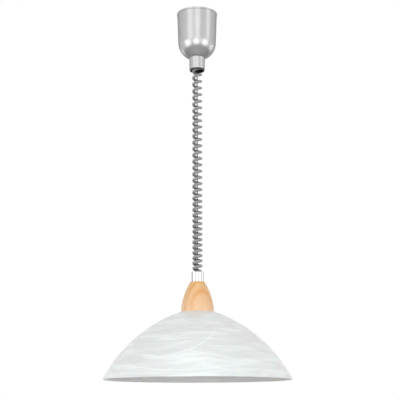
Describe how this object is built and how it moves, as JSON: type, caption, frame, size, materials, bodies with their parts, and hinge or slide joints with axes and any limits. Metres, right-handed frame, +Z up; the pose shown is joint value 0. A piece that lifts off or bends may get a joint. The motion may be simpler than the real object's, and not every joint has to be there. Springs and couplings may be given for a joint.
{
  "type": "rise and fall pendant",
  "caption": "Height-adjustable ceiling pendant: a cup with a spring balancer, a wire inside a curly cord, a chromed ferrule, a wooden cup and a wide alabaster glass shade.",
  "frame": {"origin": "on the lamp's axis in the ceiling plane, at the middle of the bracket's two slots", "axes": "+Z up along the suspension wire, +X along the bracket, -Y towards the viewer of the picture"},
  "size_m": [0.4308, 0.4307, 0.8862],
  "materials": {
    "satin_lacquer": "satin silver-grey lacquer on spun steel",
    "zinc_steel": "zinc-plated steel",
    "case_plastic": "moulded grey plastic",
    "black_plastic": "moulded black plastic",
    "cord_sheath": "smooth grey cord sheath",
    "wire_coat": "dark plastic-coated steel wire",
    "spring_steel": "blued spring steel",
    "chrome": "polished chrome",
    "pale_wood": "clear-lacquered pale softwood",
    "alabaster_glass": "white glass with wispy alabaster swirls, satin outside",
    "brass": "plain brass",
    "holder_plastic": "white heat-resistant plastic",
    "ceramic": "glazed ceramic",
    "opal_bulb": "opal white bulb glass",
    "bulb_metal": "plain aluminium",
    "felt": "pressed felt",
    "silicone": "pale silicone",
    "core_blue": "blue core insulation",
    "core_brown": "brown core insulation",
    "core_green": "green core insulation",
    "knob_plastic": "red moulded plastic"
  },
  "bodies": {
    "ceiling": {"ceiling_bracket": "zinc_steel", "earth_screw": "brass", "earth_tag": "brass", "suspension_hook": "zinc_steel", "hook_nut": "zinc_steel", "hanging_eye": "zinc_steel", "eye_screws": "zinc_steel", "balancer_case": "case_plastic", "balancer_cover": "case_plastic", "cover_screws": "zinc_steel", "wire_guide": "brass", "outlet_tube": "black_plastic", "tube_screws": "zinc_steel", "cord_gland": "black_plastic", "terminal_block": "holder_plastic", "terminal_screws": "brass", "block_screw": "zinc_steel", "core_neutral": "core_blue", "core_earth": "core_green", "core_live": "core_brown", "curly_cord": "cord_sheath", "suspension_wire": "wire_coat"},
    "drum": {"rope_drum": "holder_plastic", "wire_winding": "wire_coat", "main_spring": "spring_steel"},
    "axle": {"drum_axle": "zinc_steel", "tension_knob": "knob_plastic", "knob_screw": "zinc_steel"},
    "canopy": {"canopy_cup": "satin_lacquer", "neck_collar": "satin_lacquer", "collar_nut": "zinc_steel", "collar_screws": "zinc_steel"},
    "lamp": {"ferrule": "chrome", "cord_grip": "black_plastic", "wire_stop": "brass", "threaded_nipple": "zinc_steel", "nipple_washer": "zinc_steel", "nipple_nut": "zinc_steel", "wood_cup": "pale_wood", "felt_ring": "felt", "lampholder_cap": "holder_plastic", "lampholder_shell": "holder_plastic", "contact_block": "ceramic", "contact_screws": "brass", "centre_contact": "brass", "side_contact": "brass", "lamp_core_live": "core_brown", "lamp_core_neutral": "core_blue", "glass_shade": "alabaster_glass", "glass_gasket": "silicone", "shade_ring": "holder_plastic"},
    "bulb_point": {"bulb_contact": "brass"},
    "bulb": {"bulb_cap": "bulb_metal", "bulb_glass": "opal_bulb"}
  },
  "joints": [
    {"name": "lamp_rise", "type": "slide", "parent": "ceiling", "child": "lamp", "axis": [0, 0, 1], "range_m": [-0.4, 0.2], "deforming": ["curly_cord", "suspension_wire"]},
    {"name": "drum_turn", "type": "hinge", "parent": "ceiling", "child": "drum", "pos_m": [-0.016, 0, -0.066], "axis": [0, -1, 0], "range_deg": [-1433, 717]},
    {"name": "tension_turn", "type": "hinge", "parent": "ceiling", "child": "axle", "pos_m": [-0.016, 0, -0.066], "axis": [0, 1, 0], "range_deg": [0, 1080]},
    {"name": "canopy_drop", "type": "slide", "parent": "ceiling", "child": "canopy", "axis": [0, 0, 1], "range_m": [-0.12, 0]},
    {"name": "bulb_turn", "type": "hinge", "parent": "bulb_point", "child": "bulb", "pos_m": [0, 0, -0.72], "axis": [0, 0, -1], "range_deg": [0, 1010]},
    {"name": "bulb_travel", "type": "slide", "parent": "lamp", "child": "bulb_point", "axis": [0, 0, -1], "range_m": [0, 0.0102]}
  ],
  "couplings": [
    {"joint": "drum_turn", "follows": "lamp_rise", "rad_per_m": 62.5},
    {"joint": "bulb_travel", "follows": "bulb_turn", "m_per_rad": 0.00057757}
  ]
}
